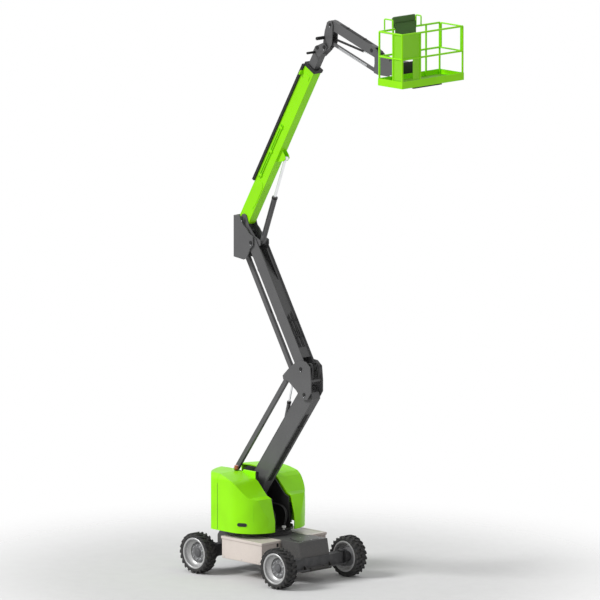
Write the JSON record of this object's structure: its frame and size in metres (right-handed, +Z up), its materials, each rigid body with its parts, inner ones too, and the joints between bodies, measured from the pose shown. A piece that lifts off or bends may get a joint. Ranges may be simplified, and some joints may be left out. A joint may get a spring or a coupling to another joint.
{
  "type": "articulating boom lift",
  "caption": "Self-propelled articulating boom lift with a two-stage riser tower, telescopic boom, levelling jib and rotating basket, on a wheeled chassis with battery boxes.",
  "frame": {"origin": "centre of the bounding box in plan, on the ground", "axes": "+X the way the booms point, +Y the machine's left, +Z up"},
  "size_m": [6.3312, 2.28, 12.1791],
  "materials": {
    "lime_paint": "gloss lime green paint",
    "dark_grey_paint": "satin dark grey paint",
    "black_paint": "satin black paint",
    "cast_grey": "painted dark grey castings",
    "box_white": "smooth warm white",
    "console_green": "dark green moulded cover",
    "tyre_rubber": "black rubber",
    "rim_silver": "silver grey paint",
    "rod_chrome": "polished chrome",
    "cover_lime": "gloss lime green moulding",
    "floor_plate": "aluminium tread plate"
  },
  "bodies": {
    "chassis": {"chassis_frame": "dark_grey_paint", "front_axle": "cast_grey", "rear_axle": "cast_grey", "slew_bearing": "black_paint", "battery_box_left": "box_white", "battery_box_right": "box_white", "battery_lid_left": "box_white", "battery_lid_right": "box_white", "steering_cylinder": "black_paint"},
    "knuckle_left": {"knuckle_left": "cast_grey"},
    "knuckle_right": {"knuckle_right": "cast_grey"},
    "steering_rod": {"steering_rod": "rod_chrome"},
    "wheel_front_left": {"tyre_front_left": "tyre_rubber", "wheel_front_left": "rim_silver"},
    "wheel_front_right": {"tyre_front_right": "tyre_rubber", "wheel_front_right": "rim_silver"},
    "wheel_rear_left": {"tyre_rear_left": "tyre_rubber", "wheel_rear_left": "rim_silver"},
    "wheel_rear_right": {"tyre_rear_right": "tyre_rubber", "wheel_rear_right": "rim_silver"},
    "turntable": {"turntable_frame": "black_paint", "counterweight": "cast_grey", "tail_cover_left": "cover_lime", "tail_cover_right": "cover_lime", "hydraulic_unit": "black_paint", "drive_controller": "black_paint"},
    "hood_left": {"hood_left": "cover_lime"},
    "hood_right": {"hood_right": "cover_lime"},
    "lower_arm": {"lower_arm": "dark_grey_paint"},
    "lower_link": {"lower_link": "dark_grey_paint"},
    "mid_bracket": {"mid_bracket": "dark_grey_paint"},
    "upper_arm": {"upper_arm": "dark_grey_paint"},
    "upper_link": {"upper_link": "dark_grey_paint"},
    "tower_head": {"tower_head": "dark_grey_paint"},
    "riser_barrel": {"riser_cylinder_barrel": "dark_grey_paint"},
    "riser_rod": {"riser_cylinder_rod": "rod_chrome"},
    "main_boom": {"main_boom": "lime_paint", "boom_collar": "black_paint", "cable_tray": "dark_grey_paint"},
    "lift_barrel": {"lift_cylinder_barrel": "dark_grey_paint"},
    "lift_rod": {"lift_cylinder_rod": "rod_chrome"},
    "fly_boom": {"fly_boom": "dark_grey_paint"},
    "jib_base": {"jib_base": "dark_grey_paint"},
    "jib_arm": {"jib_arm": "dark_grey_paint"},
    "jib_link": {"jib_link": "dark_grey_paint"},
    "jib_barrel": {"jib_cylinder_barrel": "dark_grey_paint"},
    "jib_rod": {"jib_cylinder_rod": "rod_chrome"},
    "platform_support": {"platform_support": "dark_grey_paint"},
    "platform": {"platform_mount": "cast_grey", "basket_frame": "lime_paint", "basket_floor": "floor_plate", "basket_panel_front": "lime_paint", "basket_panel_side": "lime_paint", "control_console": "console_green"},
    "basket_gate": {"basket_gate": "lime_paint"}
  },
  "joints": [
    {"name": "steer_left", "type": "hinge", "parent": "chassis", "child": "knuckle_left", "pos_m": [-0.34065, 0.78, 0.425], "axis": [0, 0, 1], "range_deg": [-40, 40]},
    {"name": "steer_right", "type": "hinge", "parent": "chassis", "child": "knuckle_right", "pos_m": [-0.34065, -0.78, 0.425], "axis": [0, 0, 1], "range_deg": [-40, 40]},
    {"name": "steering_rod_slide", "type": "slide", "parent": "chassis", "child": "steering_rod", "axis": [0, 1, 0], "range_m": [-0.10622, 0.10622]},
    {"name": "roll_front_left", "type": "hinge", "parent": "knuckle_left", "child": "wheel_front_left", "pos_m": [-0.34065, 1, 0.425], "axis": [0, 1, 0], "continuous": true},
    {"name": "roll_front_right", "type": "hinge", "parent": "knuckle_right", "child": "wheel_front_right", "pos_m": [-0.34065, -1, 0.425], "axis": [0, 1, 0], "continuous": true},
    {"name": "roll_rear_left", "type": "hinge", "parent": "chassis", "child": "wheel_rear_left", "pos_m": [-2.74065, 1, 0.425], "axis": [0, 1, 0], "continuous": true},
    {"name": "roll_rear_right", "type": "hinge", "parent": "chassis", "child": "wheel_rear_right", "pos_m": [-2.74065, -1, 0.425], "axis": [0, 1, 0], "continuous": true},
    {"name": "slew", "type": "hinge", "parent": "chassis", "child": "turntable", "pos_m": [-1.54065, 0, 0.9], "axis": [0, 0, 1], "range_deg": [-177.5, 177.5]},
    {"name": "hood_left_hinge", "type": "hinge", "parent": "turntable", "child": "hood_left", "pos_m": [-1.95065, 0.275, 2.15], "axis": [1, 0, 0], "range_deg": [0, 65]},
    {"name": "hood_right_hinge", "type": "hinge", "parent": "turntable", "child": "hood_right", "pos_m": [-1.95065, -0.275, 2.15], "axis": [-1, 0, 0], "range_deg": [0, 65]},
    {"name": "tower_lift", "type": "hinge", "parent": "turntable", "child": "lower_arm", "pos_m": [-2.04065, 0, 1.74], "axis": [0, -1, 0], "range_deg": [-54, 16]},
    {"name": "lower_link_pivot", "type": "hinge", "parent": "turntable", "child": "lower_link", "pos_m": [-2.59065, -0.085, 2.04], "axis": [0, -1, 0], "range_deg": [-54.01, 16.01]},
    {"name": "mid_bracket_pivot", "type": "hinge", "parent": "lower_arm", "child": "mid_bracket", "pos_m": [-0.4407, 0, 3.94214], "axis": [0, -1, 0], "range_deg": [-16.01, 54.01]},
    {"name": "upper_arm_pivot", "type": "hinge", "parent": "mid_bracket", "child": "upper_arm", "pos_m": [-0.5407, 0, 4.47014], "axis": [0, -1, 0], "range_deg": [-17.49, 59.01]},
    {"name": "upper_link_pivot", "type": "hinge", "parent": "mid_bracket", "child": "upper_link", "pos_m": [-0.9907, 0.085, 4.24214], "axis": [0, -1, 0], "range_deg": [-17.49, 59.01]},
    {"name": "tower_head_pivot", "type": "hinge", "parent": "upper_arm", "child": "tower_head", "pos_m": [-2.01886, 0, 6.93021], "axis": [0, -1, 0], "range_deg": [-59.01, 17.49]},
    {"name": "riser_barrel_pivot", "type": "hinge", "parent": "lower_arm", "child": "riser_barrel", "pos_m": [-1.29466, 0, 2.79995], "axis": [0, -1, 0], "range_deg": [-2.82, 0.84]},
    {"name": "riser_rod_slide", "type": "slide", "parent": "riser_barrel", "child": "riser_rod", "axis": [0.2503, 0, 0.9682], "range_m": [-0.52487, 0.15559]},
    {"name": "boom_lift", "type": "hinge", "parent": "tower_head", "child": "main_boom", "pos_m": [-2.28086, 0, 7.41021], "axis": [0, -1, 0], "range_deg": [-60, 15]},
    {"name": "lift_barrel_pivot", "type": "hinge", "parent": "tower_head", "child": "lift_barrel", "pos_m": [-1.85886, 0, 6.94021], "axis": [0, -1, 0], "range_deg": [-57.91, 14.48]},
    {"name": "lift_rod_slide", "type": "slide", "parent": "lift_barrel", "child": "lift_rod", "axis": [0.3517, 0, 0.9361], "range_m": [-0.62318, 0.15587]},
    {"name": "telescope", "type": "slide", "parent": "main_boom", "child": "fly_boom", "axis": [0.5, 0, 0.866], "range_m": [-0.3, 1.85]},
    {"name": "jib_base_level", "type": "hinge", "parent": "fly_boom", "child": "jib_base", "pos_m": [0.07903, 0, 11.24966], "axis": [0, -1, 0], "range_deg": [-15.01, 60.01]},
    {"name": "jib_lift", "type": "hinge", "parent": "jib_base", "child": "jib_arm", "pos_m": [0.22903, 0, 11.72966], "axis": [0, -1, 0], "range_deg": [-41.5, 78.5]},
    {"name": "jib_link_pivot", "type": "hinge", "parent": "jib_base", "child": "jib_link", "pos_m": [0.21403, -0.026, 11.34966], "axis": [0, -1, 0], "range_deg": [-41.51, 78.51]},
    {"name": "platform_level", "type": "hinge", "parent": "jib_arm", "child": "platform_support", "pos_m": [1.57565, 0, 11.27909], "axis": [0, -1, 0], "range_deg": [-78.51, 41.51]},
    {"name": "jib_barrel_pivot", "type": "hinge", "parent": "jib_base", "child": "jib_barrel", "pos_m": [0.22403, 0.022, 11.42966], "axis": [0, -1, 0], "range_deg": [-40.27, 76.16]},
    {"name": "jib_rod_slide", "type": "slide", "parent": "jib_barrel", "child": "jib_rod", "axis": [0.983, 0, -0.1834], "range_m": [-0.19566, 0.37002]},
    {"name": "platform_rotate", "type": "hinge", "parent": "platform_support", "child": "platform", "pos_m": [2.22065, 0, 11.27909], "axis": [0, 0, 1], "range_deg": [-80, 80]},
    {"name": "gate_swing", "type": "hinge", "parent": "platform", "child": "basket_gate", "pos_m": [2.52165, 0.859, 11.67909], "axis": [0, 0, -1], "range_deg": [0, 90]}
  ],
  "couplings": [
    {"joint": "steer_right", "follows": "steer_left", "ratio": 1},
    {"joint": "steering_rod_slide", "follows": "steer_left", "m_per_rad": 0.152},
    {"joint": "lower_link_pivot", "follows": "tower_lift", "ratio": 1},
    {"joint": "mid_bracket_pivot", "follows": "tower_lift", "ratio": -1},
    {"joint": "upper_arm_pivot", "follows": "tower_lift", "ratio": -1.0926},
    {"joint": "upper_link_pivot", "follows": "tower_lift", "ratio": -1.0926},
    {"joint": "tower_head_pivot", "follows": "tower_lift", "ratio": 1.0926},
    {"joint": "riser_barrel_pivot", "follows": "tower_lift", "ratio": 0.052},
    {"joint": "riser_rod_slide", "follows": "tower_lift", "m_per_rad": 0.5568},
    {"joint": "lift_barrel_pivot", "follows": "boom_lift", "ratio": 0.965},
    {"joint": "lift_rod_slide", "follows": "boom_lift", "m_per_rad": 0.595},
    {"joint": "jib_base_level", "follows": "boom_lift", "ratio": -1},
    {"joint": "jib_link_pivot", "follows": "jib_lift", "ratio": 1},
    {"joint": "platform_level", "follows": "jib_lift", "ratio": -1},
    {"joint": "jib_barrel_pivot", "follows": "jib_lift", "ratio": 0.97},
    {"joint": "jib_rod_slide", "follows": "jib_lift", "m_per_rad": 0.27}
  ]
}
